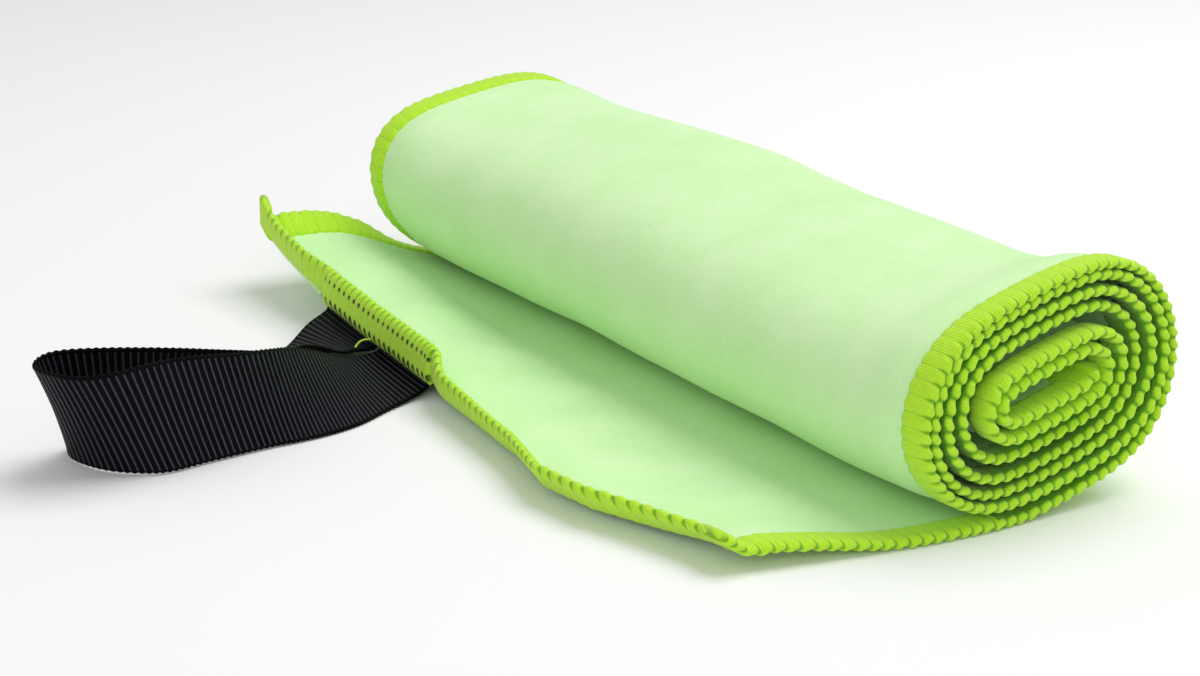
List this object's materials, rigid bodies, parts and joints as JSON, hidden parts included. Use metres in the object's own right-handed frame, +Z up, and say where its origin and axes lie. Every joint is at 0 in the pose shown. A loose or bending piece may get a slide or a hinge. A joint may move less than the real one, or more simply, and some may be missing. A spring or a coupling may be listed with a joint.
{
  "type": "quick_dry_towel",
  "caption": "Loosely rolled suede microfibre travel towel with overlocked edges, a free flap at one side and a grosgrain ribbon hang loop sewn to its end",
  "frame": {"origin": "on the flat rest face under the roll's lowest line, midway between its ends", "axes": "+X along the roll's axis, +Z up, -Y towards the free flap and its hang loop"},
  "size_m": [0.2162, 0.1842, 0.0492],
  "materials": {
    "mint_suede": "matte brushed microfibre",
    "lime_thread": "bulky overlock thread",
    "black_ribbon": "ribbed grosgrain"
  },
  "bodies": {
    "roll": {"rolled_cloth": "mint_suede", "near_side_hem_roll": "lime_thread", "far_side_hem_roll": "lime_thread", "inner_end_hem": "lime_thread"},
    "flap": {"flap_cloth": "mint_suede", "near_side_hem_flap": "lime_thread", "far_side_hem_flap": "lime_thread", "outer_end_hem_near": "lime_thread", "outer_end_hem_far": "lime_thread", "loop_stitching": "lime_thread", "near_loop_tab": "black_ribbon", "far_loop_tab": "black_ribbon"},
    "loop": {"hang_loop": "black_ribbon"}
  },
  "joints": [
    {"name": "flap_lift", "type": "hinge", "parent": "roll", "child": "flap", "pos_m": [0, -0.02826, 0.0021], "axis": [-1, 0, 0], "range_deg": [0, 55]},
    {"name": "loop_swing", "type": "hinge", "parent": "flap", "child": "loop", "pos_m": [-0.04272, -0.05696, 0.00418], "axis": [-0.9934, 0.0007, 0.1149], "range_deg": [0, 40]}
  ]
}
